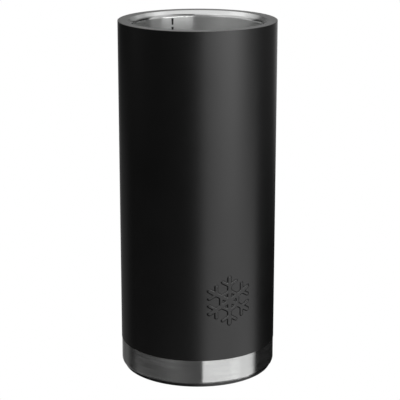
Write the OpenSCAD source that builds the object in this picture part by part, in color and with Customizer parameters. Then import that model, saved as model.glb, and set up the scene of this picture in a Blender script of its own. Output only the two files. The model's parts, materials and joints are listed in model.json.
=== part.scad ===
// Double-wall vacuum tumbler: a straight powder-coated steel cup with a bare
// steel band at the base, a flat welded lip, a chamfered mouth and a thin
// rubber foot. Every separate piece of the real cup is a module of its own,
// from the outer shell inwards to the getter and the glass seal of the vacuum
// space.
//
// Millimetres. The origin is the centre of the foot's underside, +Z runs up
// the axis of the cup, and the emblem faces -Y.

/* [Body] */
// Overall height, from the foot's underside to the lip
height = 172; // [150:1:200]
// Outside diameter over the coat
outer_d = 76; // [72:0.5:84]
// Distance from the outside of the coat to the drinking bore
wall_w = 6.8; // [6.4:0.1:8]
// Sheet thickness of the outer shell
shell_t = 0.6; // [0.5:0.1:0.8]
// Sheet thickness of the inner liner
liner_t = 0.5; // [0.4:0.1:0.6]

/* [Coat] */
// Thickness of the powder coat
coat_t = 0.15; // [0.1:0.05:0.25]
// Height of the coat's lower edge, where the bare band begins
coat_z = 13.8; // [10:0.2:22]
// Height of the tapered edge at the foot of the bare band
taper_h = 0.8; // [0.4:0.05:1.2]

/* [Mouth] */
// Width and height of the 45 degree chamfer inside the lip
chamfer = 2.2; // [1.4:0.1:2.2]
// Radius of the bend between the lip and the chamfer
lip_bend_r = 0.8; // [0.5:0.1:1]
// Radius of the wide bend between the chamfer and the wall
bend_r = 3; // [1.2:0.1:3]
// Width of the ground weld on the lip
weld_w = 0.6; // [0.4:0.1:0.8]

/* [Fill mark] */
// Depth of the two etched dashes on the bore
mark_depth = 0.08; // [0.05:0.01:0.12]
// Width of a dash
mark_w = 1.0; // [0.6:0.1:1.6]
// Height of the upper dash's top below the lip
mark_drop = 3.5; // [3.5:0.1:8]

/* [Emblem] */
// Overall height of the raised snowflake
emblem_size = 25; // [18:0.5:30]
// Height of its centre above the foot
emblem_z = 43.3; // [36:0.1:120]
// How far it stands out of the coat
emblem_h = 0.4; // [0.2:0.05:0.6]
// Width of its strokes
stroke = 2.4; // [1.4:0.1:2.6]

/* [Cup floor] */
// Height of the drinking floor above the foot
floor_z = 16; // [16:0.5:20]
// Inside radius of the corner between floor and wall
floor_r = 8; // [5:0.5:10]
// Rise of the stamped boss in the middle of the floor
boss_h = 1; // [0.8:0.1:1.6]

/* [Base] */
// Height of the shell's lower edge above the foot's underside
shell_z = 2; // [1.6:0.1:2.4]
// Sheet thickness of the vacuum base
base_t = 0.6; // [0.5:0.1:0.8]
// Height of the vacuum base's upper face
base_z = 9; // [8.6:0.1:9.6]
// Sheet thickness of the base cover
cover_t = 0.5; // [0.4:0.1:0.6]
// Radial gap filled by the cover's adhesive
glue_t = 0.15; // [0.1:0.05:0.2]

/* [Foot] */
// Height of the rubber foot
foot_h = 2.85; // [2.7:0.05:2.9]
// Inside diameter of the rubber foot
foot_id = 53; // [48:0.5:54]
// Number of grip grooves
foot_grooves = 3; // [2:1:4]
// Width of a grip groove
groove_w = 1.0; // [0.6:0.1:1]
// Depth of a grip groove
groove_d = 0.5; // [0.3:0.1:0.8]

/* [Hidden] */
$fn = 180;
eps = 0.01;

outer_r = outer_d / 2;
band_r = outer_r - coat_t;          // bare steel outside
shell_ir = band_r - shell_t;        // inside of the shell
bore_r = outer_r - wall_w;          // drinking bore
liner_or = bore_r + liner_t;        // outside of the liner
weld_d = 0.4;                       // depth of the lip and base welds
seam_z = floor_z + floor_r + 4;     // middle of the liner's girth weld
foil_t = 0.1;                       // radiation foil
base_ir = shell_ir - base_t;        // inside of the vacuum base's skirt
cover_r = base_ir - glue_t;         // outside of the base cover
cover_z = 3;                        // underside of the base cover
glass_r = 4.1;                      // sealing glass
port_r = 0.8;                       // evacuation port
clip_l = 14;                        // getter clip between its feet
clip_w = 6;
clip_t = 0.3;
pellet_r = 4.5;
pellet_h = 3;
boss_z = floor_z + boss_h;          // top of the floor's boss
plateau_z = boss_z - liner_t;       // underside of the boss

// Sideways step of a bent sheet's far face, for thickness t and a ramp that
// rises dz over dr.
function kink(t, dz, dr) = t * tan(atan(dz / dr) / 2);

// What a convex corner at [x, z] loses when it is rounded to radius r.
// sx and sz point from the corner into the metal.
module round_off(x, z, r, sx, sz) {
    difference() {
        translate([sx > 0 ? x - eps : x - r, sz > 0 ? z - eps : z - r])
            square(r + eps);
        translate([x + sx * r, z + sz * r]) circle(r);
    }
}

// A rectangle of revolution's section, between two radii and two heights.
module section(r1, r2, z1, z2) {
    translate([r1, z1]) square([r2 - r1, z2 - z1]);
}

module spin(angle = 360) {
    rotate_extrude(angle = angle) children();
}

// ---- outside ------------------------------------------------------------

// Drawn steel tube. Its lower part is the bare band.
module outer_shell() {
    taper_w = (shell_t - weld_w / 2) * 0.8;
    color([0.78, 0.79, 0.80])
    spin() difference() {
        section(shell_ir, band_r, shell_z, height);
        // tapered lower edge
        polygon([[band_r - taper_w, shell_z - eps], [band_r + eps, shell_z - eps],
                 [band_r + eps, shell_z + taper_h], [band_r, shell_z + taper_h],
                 [band_r - taper_w, shell_z]]);
        // halves of the two weld grooves
        polygon([[shell_ir - eps, height + eps], [shell_ir + weld_w / 2, height + eps],
                 [shell_ir + weld_w / 2, height], [shell_ir, height - weld_d],
                 [shell_ir - eps, height - weld_d]]);
        polygon([[shell_ir - eps, shell_z - eps], [shell_ir + weld_w / 2, shell_z - eps],
                 [shell_ir + weld_w / 2, shell_z], [shell_ir, shell_z + weld_d],
                 [shell_ir - eps, shell_z + weld_d]]);
    }
}

// Satin black powder coat over the shell, from the band to the lip.
module powder_coat() {
    color([0.06, 0.06, 0.065])
    spin() difference() {
        section(band_r, outer_r, coat_z, height);
        round_off(outer_r, height, coat_t * 0.8, -1, -1);
        round_off(outer_r, coat_z, coat_t * 0.8, -1, 1);
    }
}

// A stroke with round ends from the origin along +Y.
module bar2d(length, w) {
    translate([-w / 2, 0]) square([w, length]);
    circle(w / 2);
    translate([0, length]) circle(w / 2);
}

// Six-armed snowflake of overall height s: arms, an inner hexagon and two side
// branches near the end of each arm.
module snowflake2d(s, w) {
    arm = s / 2 - w / 2;
    hex = arm * 0.44;
    for (a = [0:60:300]) rotate(a) {
        bar2d(arm, w);
        translate([0, hex]) rotate(-120) bar2d(hex, w * 0.8);
        translate([0, arm * 0.67]) {
            rotate(60) bar2d(arm * 0.35, w * 0.8);
            rotate(-60) bar2d(arm * 0.35, w * 0.8);
        }
    }
}

// Raised emblem, wrapped on the coat.
module emblem() {
    color([0.05, 0.05, 0.055])
    intersection() {
        spin() section(outer_r, outer_r + emblem_h, emblem_z - emblem_size,
                       emblem_z + emblem_size);
        translate([0, 0, emblem_z]) rotate([90, 0, 0])
            linear_extrude(outer_r + 2) snowflake2d(emblem_size, stroke);
    }
}

// ---- liner --------------------------------------------------------------

// One dash of the fill mark, cut from the bore with a round bottom.
module dash(z1, z2, w) {
    intersection() {
        spin() section(bore_r - 1, bore_r + mark_depth, z1, z2);
        translate([-w / 2, 0, z1]) cube([w, bore_r + 2, z2 - z1]);
    }
}

// Inner wall, 45 degree chamfer and flat lip, drawn from one sheet.
module inner_liner() {
    ch = liner_t * tan(22.5);       // step of the far face at a 45 degree bend
    z0 = seam_z + 0.25;             // lower edge, on the girth weld
    zb = height - chamfer;          // lower bend
    rl = bore_r + chamfer;          // upper bend
    rb = bend_r - liner_t;          // far face of the lower bend
    z3 = zb - bend_r * tan(22.5);   // top of the straight wall
    color([0.80, 0.81, 0.82])
    difference() {
        spin() difference() {
            polygon([[bore_r, z0], [bore_r, zb], [rl, height],
                     [shell_ir - weld_w / 2, height],
                     [shell_ir, height - weld_d],
                     [shell_ir, height - liner_t],
                     [rl + ch, height - liner_t],
                     // the wide bend on the far face, as three edges
                     [liner_or + rb - rb * cos(45), z3 + rb * sin(45)],
                     [liner_or + rb - rb * cos(30), z3 + rb * sin(30)],
                     [liner_or + rb - rb * cos(15), z3 + rb * sin(15)],
                     [liner_or, z3], [liner_or, z0]]);
            // rounded bends above and below the chamfer
            upper_bend(rl, height);
            lower_bend(bore_r, zb);
        }
        dash(height - mark_drop - 3.2, height - mark_drop, mark_w);
        dash(height - mark_drop - 6.7, height - mark_drop - 4.3, mark_w);
    }
}

// Material lost where the flat lip turns into the chamfer at [x, z].
module upper_bend(x, z) {
    t = lip_bend_r * tan(22.5);     // tangent length of the rounding
    c = t * cos(45);
    difference() {
        polygon([[x - c - eps, z - c + eps], [x - c, z - c],
                 [x + t, z - lip_bend_r * 0.2], [x + t, z + eps],
                 [x - c - eps, z + eps]]);
        translate([x + t, z - lip_bend_r]) circle(lip_bend_r);
    }
}

// Material lost where the chamfer turns into the wall at [x, z].
module lower_bend(x, z) {
    t = bend_r * tan(22.5);
    c = t * cos(45);
    difference() {
        polygon([[x - eps, z - t], [x + bend_r * 0.2, z - t],
                 [x + c, z + c], [x + c - eps, z + c + eps],
                 [x - eps, z + c + eps]]);
        translate([x + bend_r, z - t]) circle(bend_r);
    }
}

// Deep-drawn floor of the cup, with a round corner and a stamped boss. A short
// straight wall runs up to the girth weld.
module liner_bottom() {
    k = kink(liner_t, boss_h, 4);
    z1 = floor_z - liner_t;
    zt = seam_z - 0.25;
    color([0.78, 0.79, 0.80])
    spin() difference() {
        polygon([[0, plateau_z], [12 - k, plateau_z], [16 - k, z1],
                 [liner_or, z1], [liner_or, zt], [0, zt]]);
        round_off(liner_or, z1, floor_r + liner_t, -1, 1);
        difference() {
            polygon([[-1, boss_z], [12, boss_z], [16, floor_z],
                     [bore_r, floor_z], [bore_r, zt + 1], [-1, zt + 1]]);
            round_off(bore_r, floor_z, floor_r, -1, 1);
        }
    }
}

// Girth weld between the liner and its floor.
module liner_weld() {
    color([0.70, 0.70, 0.70])
    spin() section(bore_r, liner_or, seam_z - 0.25, seam_z + 0.25);
}

// Weld that closes the lip, ground flush.
module rim_weld() {
    color([0.72, 0.72, 0.72])
    spin() polygon([[shell_ir - weld_w / 2, height], [shell_ir + weld_w / 2, height],
                    [shell_ir, height - weld_d]]);
}

// ---- vacuum space -------------------------------------------------------

// Copper foil round the liner, with its ends lapped.
module wall_foil() {
    z1 = seam_z + 3;
    z2 = height - 12;
    color([0.80, 0.48, 0.32]) {
        spin() section(liner_or, liner_or + foil_t, z1, z2);
        rotate([0, 0, 81]) spin(18)
            section(liner_or + foil_t, liner_or + 2 * foil_t, z1, z2);
    }
}

// Copper foil under the cup floor, with a hole for the getter clip.
module floor_foil() {
    k = kink(liner_t, boss_h, 4);
    kf = kink(foil_t, boss_h, 4);
    z = floor_z - liner_t;
    color([0.80, 0.48, 0.32])
    spin() polygon([[12 - k, plateau_z], [16 - k, z], [bore_r - floor_r, z],
                    [bore_r - floor_r, z - foil_t], [16 - k - kf, z - foil_t],
                    [12 - k, plateau_z - foil_t - kf * boss_h / 4]]);
}

// Folded steel strap, spot-welded under the boss. It carries the getter.
module getter_clip() {
    drop = pellet_h + 0.3;
    color([0.66, 0.67, 0.68])
    difference() {
        translate([-clip_l / 2 - 4, -clip_w / 2, plateau_z - drop - clip_t])
            cube([clip_l + 8, clip_w, drop + clip_t]);
        // room for the pellet
        translate([-clip_l / 2 + clip_t, -clip_w, plateau_z - drop])
            cube([clip_l - 2 * clip_t, clip_w * 2, drop + 1]);
        // space under each foot
        for (s = [-1, 1])
            translate([s * (clip_l / 2 + 5) - 5, -clip_w,
                       plateau_z - drop - clip_t - 1])
                cube([10, clip_w * 2, drop + 1]);
    }
}

// Pressed getter pellet, which takes up the last of the gas.
module getter_pellet() {
    color([0.35, 0.35, 0.37])
    spin() difference() {
        section(0, pellet_r, plateau_z - pellet_h - 0.3, plateau_z - 0.3);
        round_off(pellet_r, plateau_z - 0.3, 0.4, -1, -1);
    }
}

// Upturned dish that closes the vacuum space. A raised dimple round the
// evacuation port holds the sealing glass.
module vacuum_base() {
    k = kink(base_t, 2.2, 2.5);
    z1 = base_z - base_t;
    color([0.74, 0.75, 0.76])
    spin() difference() {
        polygon([[port_r, base_z + 2.2], [4.5, base_z + 2.2], [7, base_z],
                 [shell_ir, base_z], [shell_ir, shell_z], [port_r, shell_z]]);
        round_off(shell_ir, base_z, 2, -1, -1);
        difference() {
            polygon([[-1, z1 + 2.2], [4.5 - k, z1 + 2.2], [7 - k, z1],
                     [base_ir, z1], [base_ir, shell_z - 1], [-1, shell_z - 1]]);
            round_off(base_ir, z1, 2 - base_t, -1, -1);
        }
        // half of the weld groove
        polygon([[shell_ir + eps, shell_z - eps],
                 [shell_ir - weld_w / 2, shell_z - eps],
                 [shell_ir - weld_w / 2, shell_z],
                 [shell_ir, shell_z + weld_d],
                 [shell_ir + eps, shell_z + weld_d]]);
    }
}

// Weld between the shell and the vacuum base, ground flush.
module base_weld() {
    color([0.72, 0.72, 0.72])
    spin() polygon([[shell_ir - weld_w / 2, shell_z], [shell_ir + weld_w / 2, shell_z],
                    [shell_ir, shell_z + weld_d]]);
}

// Solder glass, melted into the port.
module seal_glass() {
    z1 = base_z - base_t + 2.2;
    color([0.30, 0.34, 0.30])
    spin() {
        difference() {
            section(0, glass_r, z1 - 0.8, z1);
            round_off(glass_r, z1 - 0.8, 0.3, -1, 1);
        }
        section(0, port_r, z1 - eps, z1 + base_t);
    }
}

// ---- underside ----------------------------------------------------------

// Steel disc with an upturned rim, which hides the vacuum base. Its middle is
// stamped up inside the foot.
module base_cover() {
    k = kink(cover_t, 0.5, 1.5);
    zt = cover_z + 3.5;
    color([0.78, 0.79, 0.80])
    spin() difference() {
        polygon([[0, cover_z + 0.5], [24, cover_z + 0.5], [25.5, cover_z],
                 [cover_r, cover_z], [cover_r, zt], [0, zt]]);
        round_off(cover_r, cover_z, 1.2, -1, 1);
        difference() {
            polygon([[-1, cover_z + 0.5 + cover_t], [24 + k, cover_z + 0.5 + cover_t],
                     [25.5 + k, cover_z + cover_t], [cover_r - cover_t, cover_z + cover_t],
                     [cover_r - cover_t, zt + 1], [-1, zt + 1]]);
            round_off(cover_r - cover_t, cover_z + cover_t, 1.2 - cover_t, -1, 1);
        }
    }
}

// Bead of adhesive between the cover's rim and the skirt.
module cover_adhesive() {
    color([0.85, 0.82, 0.70])
    spin() section(cover_r, base_ir, cover_z + 1.5, cover_z + 3.5);
}

// Ring of double-sided tape that holds the foot.
module foot_tape() {
    color([0.90, 0.90, 0.86])
    spin() section(foot_id / 2 + 1, cover_r - 2, foot_h, cover_z);
}

// Non-slip rubber ring with grip grooves.
module foot_ring() {
    ri = foot_id / 2;
    ro = cover_r;
    pitch = (ro - ri - 2 * groove_w) / foot_grooves;
    color([0.05, 0.05, 0.05])
    spin() difference() {
        section(ri, ro, 0, foot_h);
        round_off(ro, 0, 0.25, -1, 1);
        round_off(ri, 0, 0.5, 1, 1);
        round_off(ro, foot_h, 0.3, -1, -1);
        for (i = [0:foot_grooves - 1])
            section(ri + groove_w / 2 + (i + 0.5) * pitch,
                    ri + groove_w * 1.5 + (i + 0.5) * pitch, -1, groove_d);
    }
}

outer_shell();
powder_coat();
emblem();
inner_liner();
liner_bottom();
liner_weld();
rim_weld();
wall_foil();
floor_foil();
getter_clip();
getter_pellet();
vacuum_base();
base_weld();
seal_glass();
base_cover();
cover_adhesive();
foot_tape();
foot_ring();
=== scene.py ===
import bpy
import bmesh
import math
import json
import numpy as np
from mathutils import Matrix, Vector


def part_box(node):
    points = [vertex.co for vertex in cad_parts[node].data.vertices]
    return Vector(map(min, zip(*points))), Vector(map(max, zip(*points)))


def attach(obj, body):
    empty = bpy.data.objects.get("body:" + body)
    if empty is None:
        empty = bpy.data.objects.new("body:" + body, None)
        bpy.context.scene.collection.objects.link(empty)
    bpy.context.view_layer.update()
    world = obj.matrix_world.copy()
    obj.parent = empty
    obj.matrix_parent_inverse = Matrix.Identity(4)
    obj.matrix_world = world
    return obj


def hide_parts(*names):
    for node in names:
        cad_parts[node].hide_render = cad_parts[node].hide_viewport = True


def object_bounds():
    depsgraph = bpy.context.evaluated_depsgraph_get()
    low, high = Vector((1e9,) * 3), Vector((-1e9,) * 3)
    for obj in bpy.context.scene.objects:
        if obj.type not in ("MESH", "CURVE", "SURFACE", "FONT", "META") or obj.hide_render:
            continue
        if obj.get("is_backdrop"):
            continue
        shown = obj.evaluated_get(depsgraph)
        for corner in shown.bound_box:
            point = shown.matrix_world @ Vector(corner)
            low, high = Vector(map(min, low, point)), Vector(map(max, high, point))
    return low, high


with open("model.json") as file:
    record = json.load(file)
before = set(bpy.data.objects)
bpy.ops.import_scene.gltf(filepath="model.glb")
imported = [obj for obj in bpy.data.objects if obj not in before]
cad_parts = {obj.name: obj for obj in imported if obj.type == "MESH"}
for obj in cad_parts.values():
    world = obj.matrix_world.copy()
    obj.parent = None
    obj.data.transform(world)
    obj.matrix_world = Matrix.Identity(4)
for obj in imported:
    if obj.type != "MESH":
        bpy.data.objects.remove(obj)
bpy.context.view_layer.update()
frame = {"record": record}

MM = 0.001
TAU = 2 * math.pi

# ---------------------------------------------------------------- sizes
# All in millimetres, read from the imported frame.


def top(node):
    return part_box(node)[1] / MM


def low(node):
    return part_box(node)[0] / MM


H = top("outer_shell").z
R_COAT = top("powder_coat").x
Z_SEAM = low("powder_coat").z
Z_COAT_TOP = top("powder_coat").z
R_BAND = top("outer_shell").x
Z_SHELL = low("outer_shell").z
R_SEAM = top("inner_liner").x  # inside of the shell, where both welds sit
R_LINER = top("liner_weld").x
R_BORE = [m for m in frame["record"]["mounts"] if m["name"] == "mouth_bore"][0]["dims"]["r_mm"]
LINER_T = R_LINER - R_BORE
SHELL_T = R_BAND - R_SEAM
Z_LINER = low("inner_liner").z
Z_FLOOR_UNDER = low("liner_bottom").z
Z_FLOOR = Z_FLOOR_UNDER + LINER_T
BASE_TOP = top("vacuum_base").z
COVER_R = top("base_cover").x
BASE_IR = top("cover_adhesive").x
CHAMFER = 2.2
TAPER_H = 0.8
TAPER_W = 0.24
EMB_LO, EMB_HI = low("emblem"), top("emblem")
EMB_Z = (EMB_LO.z + EMB_HI.z) / 2
EMB_S = EMB_HI.z - EMB_LO.z
EMB_H = -EMB_LO.y - R_COAT

# ---------------------------------------------------------------- mesh code


def rounded(points, deg=8.0):
    """A closed outline of (x, y) or (x, y, radius) corners, with arcs at the
    corners that have a radius and short support edges beside every arc."""
    out = []
    n = len(points)
    for i in range(n):
        p = np.array(points[i][:2], float)
        rad = points[i][2] if len(points[i]) > 2 else 0.0
        if rad <= 0:
            out.append(p)
            continue
        a = np.array(points[i - 1][:2], float) - p
        b = np.array(points[(i + 1) % n][:2], float) - p
        a /= np.linalg.norm(a)
        b /= np.linalg.norm(b)
        ang = math.acos(max(-1, min(1, float(a @ b))))
        t = rad / math.tan(ang / 2)
        c = p + (a + b) / np.linalg.norm(a + b) * rad / math.sin(ang / 2)
        s, e = p + a * t - c, p + b * t - c
        a0, a1 = math.atan2(s[1], s[0]), math.atan2(e[1], e[0])
        sweep = (a1 - a0 + math.pi) % TAU - math.pi
        k = max(3, math.ceil(abs(math.degrees(sweep)) / deg))
        for j in range(k + 1):
            q = a0 + sweep * j / k
            out.append(c + rad * np.array([math.cos(q), math.sin(q)]))
    fine = []
    for i in range(len(out)):
        p, q = out[i], out[(i + 1) % len(out)]
        fine.append(p)
        length = float(np.linalg.norm(q - p))
        if length > 0.5:
            s = 0.07
            fine.append(p + (q - p) * s / length)
            for j in range(1, int(length // 9) + 1):
                fine.append(p + (q - p) * j / (int(length // 9) + 1))
            fine.append(p + (q - p) * (1 - s / length))
    return [tuple(map(float, p)) for p in fine]


def angles(n=360, extra=()):
    a = [TAU * i / n for i in range(n)]
    for e in extra:
        a = [x for x in a if abs((x - e + math.pi) % TAU - math.pi) > 0.0035]
    return sorted(a + list(extra))


def loft(name, rings, closed_u=True, closed_v=True, caps=False, sharp=32):
    """A mesh from rings of points in mm: rings[u][v]. closed_u joins the last
    ring to the first, closed_v closes each ring, caps fills the end rings."""
    nu, nv = len(rings), len(rings[0])
    bm = bmesh.new()
    vs = [[bm.verts.new((p[0] * MM, p[1] * MM, p[2] * MM)) for p in ring] for ring in rings]
    for u in range(nu if closed_u else nu - 1):
        for v in range(nv if closed_v else nv - 1):
            a, b = vs[u], vs[(u + 1) % nu]
            bm.faces.new((a[v], b[v], b[(v + 1) % nv], a[(v + 1) % nv]))
    if caps:
        bm.faces.new(vs[0])
        bm.faces.new(list(reversed(vs[-1])))
    bmesh.ops.remove_doubles(bm, verts=bm.verts, dist=1e-8)
    return finish_mesh(name, bm, sharp)


def finish_mesh(name, bm, sharp=32):
    bmesh.ops.dissolve_degenerate(bm, dist=1e-9, edges=bm.edges)
    bmesh.ops.recalc_face_normals(bm, faces=bm.faces)
    for f in bm.faces:
        f.smooth = True
    limit = math.radians(sharp)
    for e in bm.edges:
        if len(e.link_faces) == 2 and e.calc_face_angle(0) > limit:
            e.smooth = False
    me = bpy.data.meshes.new(name)
    bm.to_mesh(me)
    bm.free()
    ob = bpy.data.objects.new(name, me)
    bpy.context.scene.collection.objects.link(ob)
    return ob


def revolve(name, outline, n=360, extra=(), tweak=None, sharp=32):
    """Turns a closed (r, z) outline about Z. tweak(theta, r, z) may move a
    point and returns (theta, r, z)."""
    rings = []
    for a in angles(n, extra):
        ring = []
        for r, z in outline:
            t, rr, zz = tweak(a, r, z) if tweak else (a, r, z)
            ring.append((rr * math.cos(t), rr * math.sin(t), zz))
        rings.append(ring)
    return loft(name, rings, sharp=sharp)


def wave(seed, *freqs):
    """A smooth periodic function of the angle with a fixed seed."""
    rng = np.random.RandomState(seed)
    ph = rng.uniform(0, TAU, len(freqs))
    am = rng.uniform(0.5, 1.0, len(freqs))
    am /= am.sum()

    def f(t):
        return float(sum(m * math.sin(k * t + p) for k, p, m in zip(freqs, ph, am)))

    return f


# ---------------------------------------------------------------- materials


class Mat:
    """A Principled material with a few node helpers."""

    def __init__(self, name):
        self.m = bpy.data.materials.new(name)
        self.m.use_nodes = True
        self.nt = self.m.node_tree
        self.nt.nodes.clear()
        self.out = self.nt.nodes.new("ShaderNodeOutputMaterial")
        self.b = self.nt.nodes.new("ShaderNodeBsdfPrincipled")
        self.nt.links.new(self.b.outputs[0], self.out.inputs[0])
        self.tc = self.nt.nodes.new("ShaderNodeTexCoord")

    def set(self, **kw):
        for k, v in kw.items():
            self.b.inputs[k.replace("_", " ")].default_value = v
        return self

    def node(self, kind, **kw):
        n = self.nt.nodes.new(kind)
        for k, v in kw.items():
            setattr(n, k, v)
        return n

    def link(self, a, b):
        self.nt.links.new(a, b)

    def math(self, op, a, b=None, c=None, clamp=False):
        n = self.node("ShaderNodeMath", operation=op, use_clamp=clamp)
        for i, x in enumerate((a, b, c)):
            if x is None:
                continue
            if isinstance(x, (int, float)):
                n.inputs[i].default_value = x
            else:
                self.link(x, n.inputs[i])
        return n.outputs[0]

    def noise(self, vec, scale, detail=2.0, rough=0.5, distortion=0.0):
        n = self.node("ShaderNodeTexNoise")
        n.inputs["Scale"].default_value = scale
        n.inputs["Detail"].default_value = detail
        n.inputs["Roughness"].default_value = rough
        n.inputs["Distortion"].default_value = distortion
        self.link(vec, n.inputs["Vector"])
        return n.outputs["Fac"]

    def voronoi(self, vec, scale, feature="F1"):
        n = self.node("ShaderNodeTexVoronoi", feature=feature)
        n.inputs["Scale"].default_value = scale
        self.link(vec, n.inputs["Vector"])
        return n.outputs["Distance"]

    def ramp(self, fac, stops):
        n = self.node("ShaderNodeValToRGB")
        while len(n.color_ramp.elements) > 1:
            n.color_ramp.elements.remove(n.color_ramp.elements[-1])
        for i, (pos, col) in enumerate(stops):
            e = n.color_ramp.elements[0] if i == 0 else n.color_ramp.elements.new(pos)
            e.position = pos
            e.color = (*col, 1) if len(col) == 3 else col
        self.link(fac, n.inputs[0])
        return n.outputs[0]

    def span(self, fac, lo, hi, f0=0.0, f1=1.0):
        n = self.node("ShaderNodeMapRange")
        self.link(fac, n.inputs["Value"])
        n.inputs["From Min"].default_value = f0
        n.inputs["From Max"].default_value = f1
        n.inputs["To Min"].default_value = lo
        n.inputs["To Max"].default_value = hi
        return n.outputs["Result"]

    def bump(self, height, distance, strength=1.0, normal=None):
        n = self.node("ShaderNodeBump")
        n.inputs["Strength"].default_value = strength
        n.inputs["Distance"].default_value = distance
        self.link(height, n.inputs["Height"])
        if normal is not None:
            self.link(normal, n.inputs["Normal"])
        return n.outputs["Normal"]

    def object(self):
        return self.tc.outputs["Object"]

    def turned(self, along, across):
        """Coordinates for marks that run round the Z axis: along is how many
        features per radian of turn, across how many per metre of section."""
        sep = self.node("ShaderNodeSeparateXYZ")
        self.link(self.object(), sep.inputs[0])
        x, y, z = sep.outputs
        r = self.math("SQRT", self.math("ADD", self.math("MULTIPLY", x, x), self.math("MULTIPLY", y, y)))
        rs = self.math("MAXIMUM", r, 1e-5)
        comb = self.node("ShaderNodeCombineXYZ")
        self.link(self.math("MULTIPLY", self.math("DIVIDE", x, rs), along), comb.inputs[0])
        self.link(self.math("MULTIPLY", self.math("DIVIDE", y, rs), along), comb.inputs[1])
        self.link(self.math("MULTIPLY", self.math("ADD", r, z), across), comb.inputs[2])
        return comb.outputs[0]

    def round_tangent(self):
        t = self.node("ShaderNodeTangent", direction_type="RADIAL", axis="Z")
        self.link(t.outputs[0], self.b.inputs["Tangent"])


def steel(name, tint, rough, aniso, line=0.035, lines=1400.0, bump=2e-6, along=2.5, smudge=0.03):
    """Steel brushed round the axis: fine scratches at three widths, a faint
    change of tone along each, and a broad soft mottling."""
    m = Mat(name)
    fine = m.noise(m.turned(along * 2, 7000.0), 1.0, 3.0, 0.6)
    mid = m.noise(m.turned(along, lines), 1.0, 4.0, 0.65)
    broad = m.noise(m.object(), 60.0, 3.0, 0.5)
    mix = m.math("ADD", m.math("MULTIPLY", fine, 0.35), m.math("MULTIPLY", mid, 0.65))
    tone = m.span(mix, 1 - line * 4, 1 + line * 4, 0.0, 1.0)
    tone = m.math("MULTIPLY", tone, m.span(broad, 1 - smudge, 1 + smudge, 0.25, 0.75))
    col = m.node("ShaderNodeMix", data_type="RGBA", blend_type="MULTIPLY")
    col.inputs[0].default_value = 1.0
    col.inputs[6].default_value = (*tint, 1)
    grey = m.node("ShaderNodeCombineColor")
    for i in range(3):
        m.link(tone, grey.inputs[i])
    m.link(grey.outputs[0], col.inputs[7])
    m.link(col.outputs[2], m.b.inputs["Base Color"])
    rr = m.math("ADD", m.span(mid, rough - 0.05, rough + 0.05, 0.3, 0.7), m.span(broad, -0.02, 0.02, 0.3, 0.7))
    m.link(rr, m.b.inputs["Roughness"])
    m.set(Metallic=1.0, Anisotropic=aniso)
    m.b.inputs["Anisotropic Rotation"].default_value = 0.25
    m.round_tangent()
    m.link(m.bump(mix, bump, 1.0), m.b.inputs["Normal"])
    return m.m


def powder(name, base, rough, peel=6e-6, spec=0.5):
    """Baked powder coat: a soft orange peel, a finer grain over it and a
    slightly uneven gloss."""
    m = Mat(name)
    peel_n = m.noise(m.object(), 1100.0, 2.0, 0.45)
    grain = m.noise(m.object(), 4200.0, 2.0, 0.5)
    broad = m.noise(m.object(), 45.0, 3.0, 0.5)
    h = m.math("ADD", m.math("MULTIPLY", peel_n, 0.75), m.math("MULTIPLY", grain, 0.25))
    m.link(m.bump(h, peel, 1.0), m.b.inputs["Normal"])
    lo = tuple(c * 0.86 for c in base)
    hi = tuple(c * 1.14 for c in base)
    m.link(m.ramp(grain, [(0.3, lo), (0.7, hi)]), m.b.inputs["Base Color"])
    rr = m.math("ADD", m.span(grain, rough - 0.025, rough + 0.025, 0.3, 0.7), m.span(broad, -0.015, 0.015, 0.3, 0.7))
    m.link(rr, m.b.inputs["Roughness"])
    m.set(Metallic=0.0, IOR=1.5)
    m.b.inputs["Specular IOR Level"].default_value = spec
    return m.m


def rubber(name, base, rough):
    """Moulded rubber: fine matt grain with a little bloom."""
    m = Mat(name)
    grain = m.noise(m.object(), 3000.0, 3.0, 0.6)
    bloom = m.noise(m.object(), 120.0, 3.0, 0.55)
    m.link(m.ramp(bloom, [(0.3, tuple(c * 0.85 for c in base)), (0.72, tuple(c * 1.3 for c in base))]), m.b.inputs["Base Color"])
    m.link(m.math("ADD", m.span(grain, rough - 0.06, rough + 0.05, 0.3, 0.7), m.span(bloom, -0.03, 0.03, 0.3, 0.7)), m.b.inputs["Roughness"])
    m.link(m.bump(grain, 1.2e-5, 1.0), m.b.inputs["Normal"])
    m.set(Metallic=0.0)
    m.b.inputs["Specular IOR Level"].default_value = 0.8
    return m.m


def etched(name):
    """Laser-darkened steel in the fill mark."""
    m = Mat(name)
    n = m.noise(m.object(), 5200.0, 3.0, 0.6)
    m.link(m.ramp(n, [(0.3, (0.012, 0.012, 0.013)), (0.7, (0.045, 0.043, 0.042))]), m.b.inputs["Base Color"])
    m.link(m.span(n, 0.5, 0.75), m.b.inputs["Roughness"])
    m.link(m.bump(n, 8e-6, 1.0), m.b.inputs["Normal"])
    m.set(Metallic=0.4)
    return m.m


def weld(name, tint, rough=0.3):
    """A ground weld: steel with a ripple of overlapping beads and faint heat
    tint."""
    m = Mat(name)
    ripple = m.noise(m.turned(70.0, 500.0), 1.0, 2.0, 0.5)
    lines = m.noise(m.turned(3.0, 6000.0), 1.0, 3.0, 0.6)
    m.link(m.ramp(ripple, [(0.3, tuple(c * 0.9 for c in tint)), (0.55, tint), (0.75, (tint[0] * 1.02, tint[1] * 0.99, tint[2] * 0.93))]), m.b.inputs["Base Color"])
    m.link(m.math("ADD", m.span(ripple, rough - 0.03, rough + 0.05, 0.3, 0.7), m.span(lines, -0.03, 0.03, 0.3, 0.7)), m.b.inputs["Roughness"])
    m.set(Metallic=1.0, Anisotropic=0.5)
    m.b.inputs["Anisotropic Rotation"].default_value = 0.25
    m.round_tangent()
    m.link(m.bump(m.math("ADD", ripple, lines), 3e-6, 1.0), m.b.inputs["Normal"])
    return m.m


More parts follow.
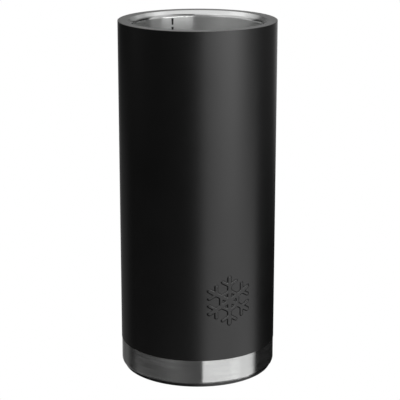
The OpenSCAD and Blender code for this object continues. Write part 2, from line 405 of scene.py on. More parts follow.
def foil(name):
    """Bright copper foil with roller lines and slight tarnish."""
    m = Mat(name)
    tarn = m.noise(m.object(), 70.0, 4.0, 0.6, 0.4)
    roll = m.noise(m.turned(1.5, 2600.0), 1.0, 3.0, 0.6)
    m.link(m.ramp(tarn, [(0.25, (0.46, 0.17, 0.085)), (0.5, (0.73, 0.33, 0.19)), (0.8, (0.83, 0.43, 0.27))]), m.b.inputs["Base Color"])
    m.link(m.math("ADD", m.span(roll, 0.12, 0.24, 0.3, 0.7), m.span(tarn, 0.06, -0.04, 0.3, 0.7)), m.b.inputs["Roughness"])
    crease = m.noise(m.object(), 260.0, 3.0, 0.55)
    m.link(m.bump(m.math("ADD", m.math("MULTIPLY", crease, 6.0), roll), 2e-5, 1.0), m.b.inputs["Normal"])
    m.set(Metallic=1.0)
    return m.m


def plain_steel(name, tint, rough):
    """Rolled sheet: straight rolling lines, small pits and dull patches."""
    m = Mat(name)
    mp = m.node("ShaderNodeMapping")
    mp.inputs["Scale"].default_value = (60.0, 4200.0, 900.0)
    m.link(m.object(), mp.inputs["Vector"])
    roll = m.noise(mp.outputs[0], 1.0, 3.0, 0.6)
    patch = m.noise(m.object(), 160.0, 4.0, 0.6)
    pits = m.span(m.voronoi(m.object(), 1500.0), 0.0, 1.0, 0.02, 0.12)
    m.link(m.ramp(patch, [(0.25, tuple(c * 0.8 for c in tint)), (0.75, tuple(c * 1.06 for c in tint))]), m.b.inputs["Base Color"])
    m.link(m.math("ADD", m.span(roll, rough - 0.07, rough + 0.07, 0.3, 0.7), m.span(patch, 0.05, -0.05, 0.3, 0.7)), m.b.inputs["Roughness"])
    m.link(m.bump(m.math("ADD", roll, pits), 4e-6, 1.0), m.b.inputs["Normal"])
    m.set(Metallic=1.0)
    return m.m


def pressed_powder(name):
    """Sintered getter alloy: dark grains with a few bright ones."""
    m = Mat(name)
    cell = m.node("ShaderNodeTexVoronoi", feature="F1")
    cell.inputs["Scale"].default_value = 5200.0
    m.link(m.object(), cell.inputs["Vector"])
    g = m.noise(m.object(), 2600.0, 4.0, 0.65)
    sep = m.node("ShaderNodeSeparateColor")
    m.link(cell.outputs["Color"], sep.inputs[0])
    m.link(m.ramp(sep.outputs[0], [(0.0, (0.05, 0.05, 0.055)), (0.8, (0.13, 0.13, 0.14)), (1.0, (0.34, 0.34, 0.36))]), m.b.inputs["Base Color"])
    m.link(m.span(g, 0.45, 0.8), m.b.inputs["Roughness"])
    m.link(m.bump(m.math("ADD", cell.outputs["Distance"], g), 4e-5, 1.0), m.b.inputs["Normal"])
    m.set(Metallic=0.55)
    return m.m


def solder_glass(name):
    """Dark, glossy sealing glass with tiny bubbles under its skin."""
    m = Mat(name)
    bub = m.voronoi(m.object(), 2400.0)
    flow = m.noise(m.object(), 420.0, 3.0, 0.5, 0.6)
    m.link(m.ramp(flow, [(0.3, (0.02, 0.028, 0.022)), (0.7, (0.06, 0.08, 0.055))]), m.b.inputs["Base Color"])
    m.link(m.span(bub, 0.30, 0.06, 0.02, 0.2), m.b.inputs["Roughness"])
    m.link(m.bump(m.math("ADD", m.math("MULTIPLY", flow, 3.0), bub), 1.5e-5, 1.0), m.b.inputs["Normal"])
    m.set(Metallic=0.0, IOR=1.7)
    m.b.inputs["Coat Weight"].default_value = 0.6
    m.b.inputs["Coat Roughness"].default_value = 0.04
    return m.m


def glue(name):
    """Cured amber adhesive."""
    m = Mat(name)
    n = m.noise(m.object(), 300.0, 3.0, 0.5)
    m.link(m.ramp(n, [(0.3, (0.40, 0.31, 0.16)), (0.7, (0.56, 0.46, 0.27))]), m.b.inputs["Base Color"])
    m.link(m.span(n, 0.16, 0.34, 0.3, 0.7), m.b.inputs["Roughness"])
    m.link(m.bump(n, 6e-5, 1.0), m.b.inputs["Normal"])
    m.b.inputs["Subsurface Weight"].default_value = 0.25
    m.b.inputs["Subsurface Scale"].default_value = 0.0004
    return m.m


def foam_tape(name):
    """Foam tape: open pores and a paper-like tone."""
    m = Mat(name)
    p = m.voronoi(m.object(), 3600.0)
    n = m.noise(m.object(), 700.0, 3.0, 0.55)
    m.link(m.ramp(p, [(0.03, (0.42, 0.42, 0.39)), (0.3, (0.70, 0.70, 0.66))]), m.b.inputs["Base Color"])
    m.link(m.span(n, 0.7, 0.95), m.b.inputs["Roughness"])
    m.link(m.bump(m.math("ADD", p, n), 3e-5, 1.0), m.b.inputs["Normal"])
    return m.m


BAND = steel("band_steel", (0.62, 0.625, 0.62), 0.21, 1.0, line=0.03, lines=1300.0)
LIP = steel("lip_steel", (0.58, 0.585, 0.58), 0.34, 0.55, line=0.02, lines=2200.0)
CHAMF = steel("chamfer_steel", (0.62, 0.625, 0.62), 0.16, 0.35, line=0.008, lines=2600.0, bump=6e-7)
WALL = steel("wall_steel", (0.66, 0.665, 0.66), 0.33, 1.0, line=0.03, lines=1500.0)
FLOOR = steel("floor_steel", (0.60, 0.605, 0.60), 0.28, 0.7, line=0.03, lines=1800.0)
COVER = steel("cover_steel", (0.60, 0.60, 0.59), 0.30, 0.75, line=0.02, lines=2200.0, bump=7e-7, along=1.2)
PRESSED = steel("pressed_steel", (0.50, 0.50, 0.49), 0.40, 0.3, line=0.03, lines=900.0)
INSIDE = steel("drawn_steel", (0.52, 0.52, 0.51), 0.36, 0.4, line=0.03, lines=1000.0)
COAT = powder("coat_black", (0.0004, 0.0004, 0.00045), 0.34, spec=0.8)
EMB = powder("emblem_black", (0.0004, 0.0004, 0.00045), 0.32, peel=4e-6, spec=0.8)
FOOT = rubber("foot_rubber", (0.0012, 0.0012, 0.0013), 0.38)
MARK = etched("mark_etched")
WELD = weld("weld_steel", (0.55, 0.55, 0.54))
COPPER = foil("foil_copper")
CLIP = plain_steel("clip_steel", (0.52, 0.52, 0.51), 0.33)
GETTER = pressed_powder("getter_alloy")
GLASS = solder_glass("solder_glass")
GLUE = glue("adhesive")
TAPE = foam_tape("tape")


def show(piece, node, slot, *mats):
    """The piece rides on the one body, stands for its CAD node and gets its
    materials."""
    for m in mats:
        piece.data.materials.append(m)
    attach(piece, "root")
    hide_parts(node)
    return piece


# ---------------------------------------------------------------- outside

WH = 0.3  # half width of the two ground welds
WD = 0.4  # and their depth

shell = revolve("shell_tube", rounded([
    (R_SEAM, Z_SHELL + WD), (R_SEAM + WH, Z_SHELL), (R_BAND - TAPER_W, Z_SHELL),
    (R_BAND, Z_SHELL + TAPER_H, 1.2), (R_BAND, H), (R_SEAM + WH, H), (R_SEAM, H - WD)], deg=4), n=480)
show(shell, "outer_shell", "band_steel", BAND, LIP, INSIDE)
for f in shell.data.polygons:
    c = f.center / MM
    r = math.hypot(c.x, c.y)
    if c.z > H - 0.01 or (c.z > H - WD and r < R_SEAM + WH):
        f.material_index = 1
    elif r < R_SEAM + 0.01:
        f.material_index = 2

coat_t = R_COAT - R_BAND
coat = revolve("coat_skin", rounded([
    (R_BAND, Z_SEAM), (R_COAT, Z_SEAM, 0.11), (R_COAT, Z_COAT_TOP, 0.13), (R_BAND, Z_COAT_TOP)]), n=480)
show(coat, "powder_coat", "coat_black", COAT)


# ---------------------------------------------------------------- emblem


def snowflake():
    """Strokes of the emblem as (x0, z0, x1, z1, half width), about its centre."""
    w = 2.4 * EMB_S / 25.0
    arm = EMB_S / 2 - w / 2
    hexr = arm * 0.44
    out = []
    for k in range(6):
        a = math.radians(60 * k)
        d = np.array([-math.sin(a), math.cos(a)])
        out.append((0, 0, *(d * arm), w / 2))
        b = math.radians(60 * k - 120)
        p = d * hexr
        e = p + hexr * np.array([-math.sin(b), math.cos(b)])
        out.append((*p, *e, w * 0.4))
        p = d * arm * 0.67
        for s in (60, -60):
            b = math.radians(60 * k + s)
            e = p + arm * 0.35 * np.array([-math.sin(b), math.cos(b)])
            out.append((*p, *e, w * 0.4))
    return out


STROKES = snowflake()


def emblem_distance(x, z):
    """Signed distance to the emblem's outline, with small inner fillets."""
    x, z = np.asarray(x, float), np.asarray(z, float)
    acc = np.zeros(x.shape)
    k = 0.11
    for x0, z0, x1, z1, hw in STROKES:
        dx, dz = x1 - x0, z1 - z0
        t = np.clip(((x - x0) * dx + (z - z0) * dz) / (dx * dx + dz * dz), 0, 1)
        d = np.hypot(x - x0 - t * dx, z - z0 - t * dz) - hw
        acc += np.exp(-np.clip(d, -6, 6) / k)
    return -k * np.log(acc)


def cut_at(level, xs, zs, ds, tris, drop):
    """Splits the triangles that cross one level of the distance, so that an
    edge follows it. drop removes what lies outside the level."""
    pos = ds > level
    p = pos[tris]
    n = p.sum(1)
    keep = [tris[n == 0]]
    if not drop:
        keep.append(tris[n == 3])
    mixed = tris[(n == 1) | (n == 2)]
    pm = pos[mixed]
    one = pm.sum(1) == 1
    lone = np.where(one, pm.argmax(1), (~pm).argmax(1))
    i = np.arange(len(mixed))
    a, b, c = mixed[i, lone], mixed[i, (lone + 1) % 3], mixed[i, (lone + 2) % 3]
    edges = np.concatenate([np.stack([a, b], 1), np.stack([a, c], 1)])
    edges.sort(1)
    uniq, inv = np.unique(edges, axis=0, return_inverse=True)
    inv = np.asarray(inv).reshape(-1)
    e0, e1 = uniq[:, 0], uniq[:, 1]
    q0, q1 = np.zeros(len(uniq)), np.ones(len(uniq))
    s0 = pos[e0]
    for _ in range(14):
        q = (q0 + q1) / 2
        v = emblem_distance(xs[e0] + (xs[e1] - xs[e0]) * q, zs[e0] + (zs[e1] - zs[e0]) * q) > level
        q0, q1 = np.where(v == s0, q, q0), np.where(v == s0, q1, q)
    q = np.clip((q0 + q1) / 2, 0.03, 0.97)
    base = len(xs)
    xs = np.concatenate([xs, xs[e0] + (xs[e1] - xs[e0]) * q])
    zs = np.concatenate([zs, zs[e0] + (zs[e1] - zs[e0]) * q])
    ds = np.concatenate([ds, np.full(len(uniq), level)])
    m = len(mixed)
    p, r = base + inv[:m], base + inv[m:]
    tip = np.stack([a, p, r], 1)
    rest = np.concatenate([np.stack([p, b, c], 1), np.stack([p, c, r], 1)])
    twice = np.concatenate([one, one])
    if drop:
        keep += [tip[~one], rest[twice]]
    else:
        keep += [tip, rest]
    return xs, zs, ds, np.concatenate(keep)


def build_emblem():
    edge = 0.62  # width of the rounded shoulder between coat and face
    step = 0.3
    half = EMB_S / 2 + 0.6
    n = int(2 * half / step)
    g = np.linspace(-half, half, n + 1)
    xs, zs = (q.ravel() for q in np.meshgrid(g, g))
    tris = []
    for j in range(n):
        for i in range(n):
            a = j * (n + 1) + i
            b, c, d = a + 1, a + n + 2, a + n + 1
            tris += [(a, b, c), (a, c, d)] if (i + j) % 2 else [(a, b, d), (b, c, d)]
    tris = np.array(tris)
    ds = emblem_distance(xs, zs)
    for k, level in enumerate((0.04, -0.03, -0.10, -0.17, -0.25, -0.34, -0.44, -0.58, -0.75)):
        xs, zs, ds, tris = cut_at(level, xs, zs, ds, tris, k == 0)
    used = np.unique(tris)
    index = np.full(len(xs), -1)
    index[used] = np.arange(len(used))
    tris = index[tris]
    X, Z, D = xs[used], zs[used], ds[used]
    t = np.clip((0.04 - D) / edge, 0, 1)
    s = np.sin(t * math.pi / 2)
    front = R_COAT - 0.012 + (EMB_H + 0.012) * s
    back = R_COAT - 0.06
    bm = bmesh.new()
    fv = [bm.verts.new((x * MM, -math.sqrt(r * r - x * x) * MM, (EMB_Z + z) * MM)) for x, z, r in zip(X, Z, front)]
    bv = [bm.verts.new((x * MM, -math.sqrt(back * back - x * x) * MM, (EMB_Z + z) * MM)) for x, z in zip(X, Z)]
    seen = set()
    for a, b, c in tris.tolist():
        if len({a, b, c}) < 3:
            continue
        bm.faces.new((fv[a], fv[b], fv[c]))
        bm.faces.new((bv[c], bv[b], bv[a]))
        seen.update(((a, b), (b, c), (c, a)))
    for a, b in sorted(seen):
        if (b, a) not in seen:
            bm.faces.new((fv[b], fv[a], bv[a], bv[b]))
    return finish_mesh("snowflake_relief", bm, sharp=50)


emblem = build_emblem()
show(emblem, "emblem", "emblem_black", EMB)

# ---------------------------------------------------------------- liner

BEND = 3.0
LIP_BEND = 0.8
MARK_W = 0.5
m_hi1, m_lo1 = H - 3.5, H - 6.7
m_hi2, m_lo2 = H - 7.8, H - 10.2
SIDE = 0.04


def in_dash(z):
    for hi, lo in ((m_hi1, m_lo1), (m_hi2, m_lo2)):
        if lo - 1e-6 <= z <= hi + 1e-6:
            return True
    return False


a_in = MARK_W / R_BORE
a_out = (MARK_W + SIDE) / R_BORE
mark_angles = [math.pi / 2 + s for s in (-a_out, -a_in, -a_in / 2, 0, a_in / 2, a_in, a_out)]
liner_line = rounded([
    (R_BORE, Z_LINER), (R_BORE, H - CHAMFER, BEND), (R_BORE + CHAMFER, H, LIP_BEND),
    (R_SEAM - WH, H), (R_SEAM, H - WD), (R_SEAM, H - LINER_T),
    (R_BORE + CHAMFER + 0.207, H - LINER_T, LIP_BEND - LINER_T),
    (R_LINER, H - CHAMFER - 0.207, BEND - LINER_T), (R_LINER, Z_LINER)], deg=3)
# the inner wall gets rows at the ends of each dash
rows = []
for hi, lo in ((m_hi1, m_lo1), (m_hi2, m_lo2)):
    rows += [hi + SIDE, hi, hi - 0.4, lo + 0.4, lo, lo - SIDE]
wall = [p for p in liner_line if abs(p[0] - R_BORE) < 1e-6]
rest = [p for p in liner_line if abs(p[0] - R_BORE) >= 1e-6]
wz = sorted(set([p[1] for p in wall]) | set(rows))
wz = [z for z in wz if z in rows or all(abs(z - q) > 0.1 for q in rows)]
liner_line = [(R_BORE, z) for z in wz] + rest


def press_marks(t, r, z):
    d = (t - math.pi / 2 + math.pi) % TAU - math.pi
    if abs(r - R_BORE) < 1e-6 and abs(d) < a_out + 1e-6 and in_dash(z):
        hi, lo = (m_hi1, m_lo1) if z > (m_lo1 + m_hi2) / 2 else (m_hi2, m_lo2)
        k = 0.78 + 0.3 * (z - lo) / (hi - lo)  # a little narrower at its foot
        if abs(d) < a_in + 1e-6:
            return math.pi / 2 + d * k, r + 0.08, z
        return math.pi / 2 + math.copysign(a_in * k + (a_out - a_in), d), r, z
    return t, r, z


liner = revolve("liner_wall", liner_line, n=480, extra=mark_angles, tweak=press_marks)
show(liner, "inner_liner", "liner_steel", WALL, CHAMF, LIP, INSIDE, MARK)
for f in liner.data.polygons:
    c = f.center / MM
    r = math.hypot(c.x, c.y)
    n_r = (f.normal.x * c.x + f.normal.y * c.y) / r
    slope = math.degrees(math.atan2(f.normal.z, -n_r))
    if r < R_BORE + 0.2 and -5 < slope < 8:
        f.material_index = 0
    elif 8 <= slope < 52:
        f.material_index = 1
    elif 52 <= slope < 100:
        f.material_index = 2
    else:
        f.material_index = 3
    if c.y > 0 and abs(c.x) < MARK_W * 1.15 and m_lo2 - 0.1 < c.z < m_hi1 + 0.1 and R_BORE + 0.02 < r < R_BORE + 0.1:
        f.material_index = 4

zc = Z_FLOOR
boss = top("floor_foil").z + LINER_T
bottom = revolve("liner_floor", rounded([
    (0, boss - LINER_T), (11.94, boss - LINER_T, 1.6), (15.94, Z_FLOOR_UNDER, 1.2),
    (R_LINER, Z_FLOOR_UNDER, 8 + LINER_T), (R_LINER, Z_LINER - 0.5), (R_BORE, Z_LINER - 0.5),
    (R_BORE, Z_FLOOR, 8.0), (16, Z_FLOOR, 1.6), (12, boss, 1.2), (0, boss)], deg=5), n=360)
show(bottom, "liner_bottom", "liner_steel", FLOOR, INSIDE)
for f in bottom.data.polygons:
    n = f.normal
    c = f.center / MM
    r = math.hypot(c.x, c.y)
    out = n.z < -0.05 or (r > R_LINER - 0.1)
    f.material_index = 1 if out else 0

ripple = wave(3, 180, 211, 97, 13)


def bead(t, r, z):
    if r < R_BORE + 0.05:
        s = 1 - ((z - (Z_LINER - 0.25)) / 0.25) ** 2
        return t, r - 0.02 * max(0, s) * (1 + 0.5 * ripple(t)), z
    s = 1 - ((z - (Z_LINER - 0.25)) / 0.25) ** 2
    return t, r + 0.05 * max(0, s) * (1 + 0.6 * ripple(t)), z


lw = [(R_BORE, Z_LINER - 0.5 + 0.5 * i / 8) for i in range(8, -1, -1)]
lw += [(R_LINER, Z_LINER - 0.5 + 0.5 * i / 8) for i in range(0, 9)]
show(revolve("liner_girth_weld", lw, n=720, tweak=bead), "liner_weld", "weld_steel", WELD)


def ring_weld(name, node, z, sign):
    rip = wave(7 + int(z), 240, 173, 59, 11)
    pts = [(R_SEAM - WH + 2 * WH * i / 6, z) for i in range(7)] + [(R_SEAM, z - sign * WD)]

    def tweak(t, r, zz):
        if abs(zz - z) < 1e-6 and abs(r - R_SEAM) < WH - 1e-6:
            s = 1 - ((r - R_SEAM) / WH) ** 2
            return t, r, zz - sign * 0.006 * s * (1 + 0.7 * rip(t))
        return t, r, zz

    return show(revolve(name, pts, n=720, tweak=tweak), node, "weld_steel", WELD)


ring_weld("lip_weld", "rim_weld", H, 1)
ring_weld("base_seam_weld", "base_weld", Z_SHELL, -1)

# ---------------------------------------------------------------- vacuum space


def build_wall_foil():
    z0, z1 = low("wall_foil").z, top("wall_foil").z
    start = math.radians(81)
    span = math.radians(378)
    nu, nz = 620, 60
    rng = np.random.RandomState(11)
    creases = [(rng.uniform(0, TAU), rng.uniform(z0, z1), rng.uniform(-1, 1), rng.uniform(0.6, 1.0)) for _ in range(26)]
    rings = []
    for i in range(nu + 1):
        a = start + span * i / nu
        lap = 0.1 * min(1.0, max(0.0, (i / nu * 378 - 358) / 2))
        inner, outer = [], []
        for j in range(nz + 1):
            z = z0 + (z1 - z0) * j / nz
            c = 0.0
            for ca, cz, sl, k in creases:
                d = ((a - ca + math.pi) % TAU - math.pi) * R_LINER
                u = d * math.cos(sl) + (z - cz) * math.sin(sl)
                v = -d * math.sin(sl) + (z - cz) * math.cos(sl)
                if abs(v) < 14:
                    c += k * math.exp(-(u / 0.7) ** 2) * (1 - (v / 14) ** 2)
            c = 0.07 * min(c, 1.3)
            r = R_LINER + 0.004 + lap + c
            inner.append((r * math.cos(a), r * math.sin(a), z))
            outer.append(((r + 0.09) * math.cos(a), (r + 0.09) * math.sin(a), z))
        rings.append(inner + outer[::-1])
    return loft("liner_foil_wrap", rings, closed_u=False, closed_v=True, caps=True)


show(build_wall_foil(), "wall_foil", "foil_copper", COPPER)

fz = Z_FLOOR_UNDER
fw = wave(21, 5, 9, 14)


def foil_wrinkle(t, r, z):
    s = max(0.0, (r - 17) / 6.0)
    return t, r, z - 0.05 * s * (0.6 + 0.4 * fw(t)) * (1 + math.sin(24 * t + r)) / 2


ff_hi = top("floor_foil").z
show(revolve("floor_foil_disc", rounded([
    (11.94, ff_hi - 0.02), (15.94, fz - 0.02, 1.2), (23.1, fz - 0.02), (23.1, fz - 0.1), (15.93, fz - 0.1, 1.2), (11.94, ff_hi - 0.1)]), n=360, tweak=foil_wrinkle),
    "floor_foil", "foil_copper", COPPER)


def build_clip():
    z1, z0 = top("getter_clip").z, low("getter_clip").z
    t = 0.3
    x1, x0 = top("getter_clip").x, 7.0
    line = rounded([
        (-x1, z1 - t), (-x0, z1 - t, 0.12), (-x0, z0, 0.55), (x0, z0, 0.55), (x0, z1 - t, 0.12),
        (x1, z1 - t), (x1, z1), (x0 - t, z1, 0.5), (x0 - t, z0 + t, 0.25),
        (-x0 + t, z0 + t, 0.25), (-x0 + t, z1, 0.5), (-x1, z1)], deg=15)
    w = top("getter_clip").y
    rings = []
    e = 0.06
    for y, k in ((-w, 1), (-w + e * 0.3, 0.3), (-w + e, 0), (w - e, 0), (w - e * 0.3, 0.3), (w, 1)):
        ring = []
        n = len(line)
        for i, (x, z) in enumerate(line):
            px, pz = line[i - 1]
            qx, qz = line[(i + 1) % n]
            dx, dz = qx - px, qz - pz
            L = math.hypot(dx, dz) or 1.0
            ring.append((x - e * k * dz / L * 0.6 * ORIENT, y, z + e * k * dx / L * 0.6 * ORIENT))
        rings.append(ring)
    return loft("getter_strap", rings, closed_u=False, closed_v=True, caps=True, sharp=40)


ORIENT = 1.0
strap = build_clip()
for sx in (-1, 1):
    for sy in (-1, 1):
        bm = bmesh.new()
        bmesh.ops.create_uvsphere(bm, u_segments=24, v_segments=12, radius=1.4 * MM)
        me = bpy.data.meshes.new("cutter")
        bm.to_mesh(me)
        bm.free()
        ball = bpy.data.objects.new("cutter", me)
        ball.location = (sx * 9.2 * MM, sy * 1.5 * MM, (low("getter_clip").z + 3.3 - 1.28) * MM)
        bpy.context.scene.collection.objects.link(ball)
        mod = strap.modifiers.new("spot", "BOOLEAN")
        mod.operation = "DIFFERENCE"
        mod.solver = "EXACT"
        mod.object = ball
        bpy.context.view_layer.update()
        dg = bpy.context.evaluated_depsgraph_get()
        new = bpy.data.meshes.new_from_object(strap.evaluated_get(dg))
        strap.modifiers.clear()
        strap.data = new
        bpy.data.objects.remove(ball)
strap.data.name = "getter_strap"
show(strap, "getter_clip", "clip_steel", CLIP)

pz0, pz1 = low("getter_pellet").z, top("getter_pellet").z
pr = top("getter_pellet").x
grit = np.random.RandomState(5).uniform(-1, 1, 4096)


def pellet_grit(t, r, z):
    k = int(t * 977 + r * 131 + z * 57) % 4096
    if r < 0.4:
        return t, r, z
    return t, r + 0.015 * grit[k], z + (0.012 * grit[(k * 7) % 4096] if z > pz0 + 0.3 else 0)


ring_r = [pr * i / 14 for i in range(14)]
edge = [p for p in rounded([(0, pz0), (pr, pz0, 0.2), (pr, pz1, 0.4), (0, pz1)]) if p[0] > pr - 0.9]
inner_r = [r for r in ring_r if r < pr - 0.9]
pel = [(r, pz0) for r in inner_r] + edge + [(r, pz1) for r in inner_r[::-1]]
show(revolve("getter_tablet", pel, n=180, tweak=pellet_grit, sharp=50), "getter_pellet", "getter_alloy", GETTER)

BT = SHELL_T
bz1 = Z_SHELL + 7.0  # top of the plate
bz0 = bz1 - BT
dz = BASE_TOP - bz1
vac = revolve("vacuum_dish", rounded([
    (0.8, BASE_TOP, 0.12), (4.5, BASE_TOP, 1.0), (7.0, bz1, 0.6), (R_SEAM, bz1, 2.0),
    (R_SEAM, Z_SHELL + WD), (R_SEAM - WH, Z_SHELL), (BASE_IR, Z_SHELL, 0.1), (BASE_IR, bz0, 1.4),
    (6.77, bz0, 1.2), (4.27, bz0 + dz, 0.4), (0.8, bz0 + dz, 0.12)], deg=7), n=360)
show(vac, "vacuum_base", "base_steel", PRESSED)

gz0 = low("seal_glass").z
gz1 = gz0 + 0.8
gr = top("seal_glass").x
menis = [(0, gz0 + 0.12)] + [(gr * q, gz0 + 0.12 - 0.12 * math.sin(q * math.pi) + 0.0) for q in (0.15, 0.3, 0.45, 0.6, 0.75)]
menis += [(gr - 0.35, gz0 + 0.02), (gr - 0.15, gz0 + 0.1), (gr - 0.04, gz0 + 0.25), (gr, gz0 + 0.5), (gr, gz1), (0.8, gz1), (0.8, top("seal_glass").z - 0.03), (0.5, top("seal_glass").z - 0.01), (0, top("seal_glass").z)]
show(revolve("glass_seal", menis, n=120), "seal_glass", "solder_glass", GLASS)

# ---------------------------------------------------------------- underside

CT = 0.5
cz0, cz1 = low("base_cover").z, top("base_cover").z
cover = revolve("cover_disc", rounded([
    (0, cz0 + 0.5), (24, cz0 + 0.5, 1.6), (25.5, cz0, 1.2), (COVER_R, cz0, 1.2), (COVER_R, cz1, 0.12),
    (COVER_R - CT, cz1, 0.12), (COVER_R - CT, cz0 + CT, 0.7), (25.58, cz0 + CT, 1.6), (24.08, cz0 + 0.5 + CT, 1.2), (0, cz0 + 0.5 + CT)], deg=6), n=360)
show(cover, "base_cover", "cover_steel", COVER)

gl0, gl1 = low("cover_adhesive").z, top("cover_adhesive").z
sq = wave(31, 3, 7, 12, 19)


def squeeze(t, r, z):
    k = sq(t)
    return t, r, z + (0.18 * k if z > (gl0 + gl1) / 2 else -0.12 * k)


show(revolve("glue_bead", rounded([
    (COVER_R + 0.003, gl0, 0.06), (BASE_IR - 0.003, gl0, 0.06), (BASE_IR - 0.003, gl1, 0.06), (COVER_R + 0.003, gl1, 0.06)]), n=360, tweak=squeeze),
    "cover_adhesive", "adhesive", GLUE)

t0, t1 = low("foot_tape").z, top("foot_tape").z
show(revolve("tape_ring", rounded([
    (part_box("foot_ring")[1].x / MM - 36.5 + 27.5, t0, 0.03), (top("foot_tape").x, t0, 0.03), (top("foot_tape").x, t1, 0.03),
    (27.5, t1, 0.03)]), n=240), "foot_tape", "tape", TAPE)

fr = top("foot_ring").x
fi = 26.5
fh = top("foot_ring").z
pitch = (fr - fi - 2.0) / 3
line = [(fi, 0, 0.5)]
for i in range(3):
    g = fi + 0.5 + (i + 0.5) * pitch
    line += [(g, 0, 0.12), (g + 0.06, 0.5, 0.18), (g + 0.94, 0.5, 0.18), (g + 1.0, 0, 0.12)]
line += [(fr, 0, 0.25), (fr, fh, 0.3), (fi, fh, 0.15)]
show(revolve("foot_pad", rounded(line, deg=10), n=360), "foot_ring", "foot_rubber", FOOT)

# ---------------------------------------------------------------- stage, light and camera

AXIS_AZ = 23.4  # the camera stands this far to the left of the emblem's face
F = 1447.27
DIST = 0.68447
CAM_Z = 0.27096
PITCH = 15.334

cam_data = bpy.data.cameras.new("camera")
cam_data.sensor_width = 36
cam_data.lens = F * 36 / 400
cam_data.shift_x = 2.43 / 400
cam_data.clip_start = 0.01
cam = bpy.data.objects.new("camera", cam_data)
a = math.radians(AXIS_AZ)
cam.location = (-math.sin(a) * DIST, -math.cos(a) * DIST, CAM_Z)
cam.rotation_mode = "XYZ"
cam.rotation_euler = (math.radians(90 - PITCH), 0, -a)
bpy.context.scene.collection.objects.link(cam)
bpy.context.scene.camera = cam

bm = bmesh.new()
bmesh.ops.create_circle(bm, cap_ends=True, segments=96, radius=6.0)
me = bpy.data.meshes.new("floor")
bm.to_mesh(me)
bm.free()
floor = bpy.data.objects.new("floor", me)
bpy.context.scene.collection.objects.link(floor)
fm = bpy.data.materials.new("floor_white")
fm.use_nodes = True
nt = fm.node_tree
nt.nodes.clear()
fo = nt.nodes.new("ShaderNodeOutputMaterial")
em = nt.nodes.new("ShaderNodeEmission")
em.inputs[0].default_value = (1, 1, 1, 1)
em.inputs[1].default_value = 1.0
tr = nt.nodes.new("ShaderNodeBsdfTransparent")
geo = nt.nodes.new("ShaderNodeNewGeometry")
mx = nt.nodes.new("ShaderNodeMixShader")
nt.links.new(geo.outputs["Backfacing"], mx.inputs[0])
nt.links.new(em.outputs[0], mx.inputs[1])
nt.links.new(tr.outputs[0], mx.inputs[2])
nt.links.new(mx.outputs[0], fo.inputs[0])
floor.data.materials.append(fm)
floor.visible_glossy = False
floor.visible_diffuse = False
floor.visible_shadow = False
floor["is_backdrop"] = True

CENTRE = Vector((0, 0, 0.085))


def softbox(name, az, el, dist, w, h, radiance):
    """A rectangular lamp that faces the cup. az is to the right of the camera
    as it looks at the cup, el above the horizon, in degrees."""
    d = bpy.data.lights.new(name, "AREA")
    d.shape = "RECTANGLE"
    d.size = w
    d.size_y = h
    d.energy = radiance * math.pi * w * h
    d.color = (1, 1, 1)
    o = bpy.data.objects.new(name, d)
    t = math.radians(-AXIS_AZ + az)
    e = math.radians(el)
    off = Vector((math.sin(t) * math.cos(e), -math.cos(t) * math.cos(e), math.sin(e))) * dist
    o.location = CENTRE + off
    o.rotation_mode = "QUATERNION"
    o.rotation_quaternion = (-off).to_track_quat("-Z", "Y")
    o.visible_camera = False
    bpy.context.scene.collection.objects.link(o)
    return o


LIGHTS = {
    # name: (azimuth, elevation, distance, width, height, radiance)
    "key_right": (36.5, 6, 12.0, 13.04, 2.52, 4.40),
    "overhead": (0, 90, 3.0, 4.9, 4.9, 0.25),
}
for k, v in LIGHTS.items():
    softbox(k, *v)

# Soft light from all round, as a table of radiance. Rows run up from the
# floor, columns from behind on the left to behind on the right.
SKY_AZ = (-180, -160, -140, -125, -112, -105, -90, -70, -50, -30, -12, 8, 35, 65, 96, 112, 130, 155, 180)
SKY_EL = (-60, -40, -25, -12, 0, 12, 25, 40, 60)
SKY = (
    (1.07, 0.83, 0.10, 0.00, 0.00, 0.06, 0.01, 0.04, 0.09, 0.09, 0.10, 0.00, 0.00, 0.00, 0.00, 0.00, 0.00, 2.21),
    (0.36, 0.26, 0.07, 0.02, 0.21, 0.16, 0.16, 0.22, 0.30, 0.28, 0.13, 1.59, 1.37, 1.86, 0.00, 0.00, 0.00, 0.00),
    (0.40, 0.10, 0.12, 0.00, 0.00, 0.00, 0.00, 0.00, 0.00, 0.00, 0.05, 0.63, 0.14, 0.73, 0.00, 0.00, 0.00, 0.00),
    (0.45, 0.00, 0.00, 0.00, 0.00, 0.00, 0.00, 0.00, 0.00, 0.00, 0.00, 0.00, 2.21, 0.00, 0.11, 0.18, 0.11, 1.10),
    (0.20, 0.00, 0.00, 0.00, 0.76, 0.77, 0.19, 0.00, 0.00, 0.00, 0.11, 1.30, 0.08, 0.78, 0.00, 0.00, 0.00, 0.16),
    (0.17, 0.13, 0.06, 0.38, 0.40, 0.67, 0.91, 1.06, 1.08, 0.49, 0.38, 0.23, 0.26, 0.80, 0.00, 0.06, 0.36, 0.28),
    (0.00, 0.30, 0.84, 0.70, 0.98, 0.76, 0.67, 0.60, 0.68, 0.45, 0.30, 0.47, 0.77, 0.67, 0.28, 0.34, 0.64, 0.00),
    (0.00, 2.00, 1.00, 0.99, 1.05, 1.05, 0.98, 0.98, 1.06, 0.65, 0.57, 0.00, 0.00, 0.75, 1.05, 0.89, 0.79, 0.00),
)
SKY_TOP = 0.81

world = bpy.data.worlds.new("world")
bpy.context.scene.world = world
world.use_nodes = True
wn = world.node_tree
wn.nodes.clear()


def wnode(kind, **kw):
    n = wn.nodes.new(kind)
    for k, v in kw.items():
        setattr(n, k, v)
    return n


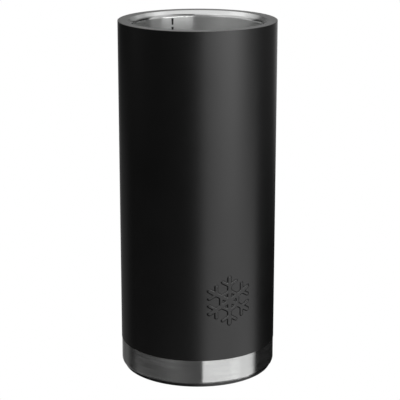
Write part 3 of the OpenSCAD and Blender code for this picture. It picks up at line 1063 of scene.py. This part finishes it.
def wmath(op, a, b=None, c=None):
    n = wnode("ShaderNodeMath", operation=op)
    for i, x in enumerate((a, b, c)):
        if isinstance(x, (int, float)):
            n.inputs[i].default_value = x
        elif x is not None:
            wn.links.new(x, n.inputs[i])
    return n.outputs[0]


wt = wnode("ShaderNodeTexCoord")
ws = wnode("ShaderNodeSeparateXYZ")
wn.links.new(wt.outputs["Generated"], ws.inputs[0])
turn = wmath("ARCTAN2", ws.outputs[0], wmath("MULTIPLY", ws.outputs[1], -1.0))
turn = wmath("WRAP", wmath("ADD", turn, math.radians(AXIS_AZ)), math.pi, -math.pi)
turn = wmath("MULTIPLY_ADD", turn, 1 / TAU, 0.5)
rise = wmath("MULTIPLY", wmath("ARCSINE", ws.outputs[2]), 180 / math.pi)
SHARP = (8, 96)
light_level = None
for k, row in enumerate(SKY):
    rp = wnode("ShaderNodeValToRGB")
    cr = rp.color_ramp
    cr.interpolation = "LINEAR"
    stops = []
    for i, v in enumerate(row):
        a0, a1 = SKY_AZ[i], SKY_AZ[i + 1]
        if a0 in SHARP:
            stops.append((a0 + 0.25, v))
        stops.append(((a0 + a1) / 2, v))
        if a1 in SHARP:
            stops.append((a1 - 0.25, v))
    while len(cr.elements) > 1:
        cr.elements.remove(cr.elements[-1])
    for i, (pos, v) in enumerate(stops):
        e = cr.elements[0] if i == 0 else cr.elements.new(pos / 360 + 0.5)
        e.position = pos / 360 + 0.5
        e.color = (v / 4, v / 4, v / 4, 1)
    wn.links.new(turn, rp.inputs[0])
    here = wmath("MULTIPLY", rp.outputs[0], 4.0)
    step = wnode("ShaderNodeMapRange", interpolation_type="SMOOTHSTEP")
    wn.links.new(rise, step.inputs["Value"])
    edge = SKY_EL[k]
    step.inputs["From Min"].default_value = edge - 4.0
    step.inputs["From Max"].default_value = edge + 4.0
    f = step.outputs["Result"]
    if light_level is None:
        light_level = wmath("MULTIPLY", f, here)
    else:
        diff = wmath("SUBTRACT", here, light_level)
        light_level = wmath("MULTIPLY_ADD", diff, f, light_level)
step = wnode("ShaderNodeMapRange", interpolation_type="SMOOTHSTEP")
wn.links.new(rise, step.inputs["Value"])
step.inputs["From Min"].default_value = SKY_EL[-1] - 4.0
step.inputs["From Max"].default_value = SKY_EL[-1] + 4.0
light_level = wmath("MULTIPLY_ADD", wmath("SUBTRACT", SKY_TOP, light_level), step.outputs["Result"], light_level)

wo = wnode("ShaderNodeOutputWorld")
b1 = wnode("ShaderNodeBackground")
b1.inputs[0].default_value = (1, 1, 1, 1)
wn.links.new(light_level, b1.inputs[1])
b2 = wnode("ShaderNodeBackground")
b2.inputs[0].default_value = (1, 1, 1, 1)
b2.inputs[1].default_value = 1.0
lp = wnode("ShaderNodeLightPath")
mw = wnode("ShaderNodeMixShader")
wn.links.new(lp.outputs["Is Camera Ray"], mw.inputs[0])
wn.links.new(b1.outputs[0], mw.inputs[1])
wn.links.new(b2.outputs[0], mw.inputs[2])
wn.links.new(mw.outputs[0], wo.inputs[0])

bpy.context.scene.view_settings.view_transform = "Standard"
bpy.context.scene.view_settings.look = "None"

lo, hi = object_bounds()
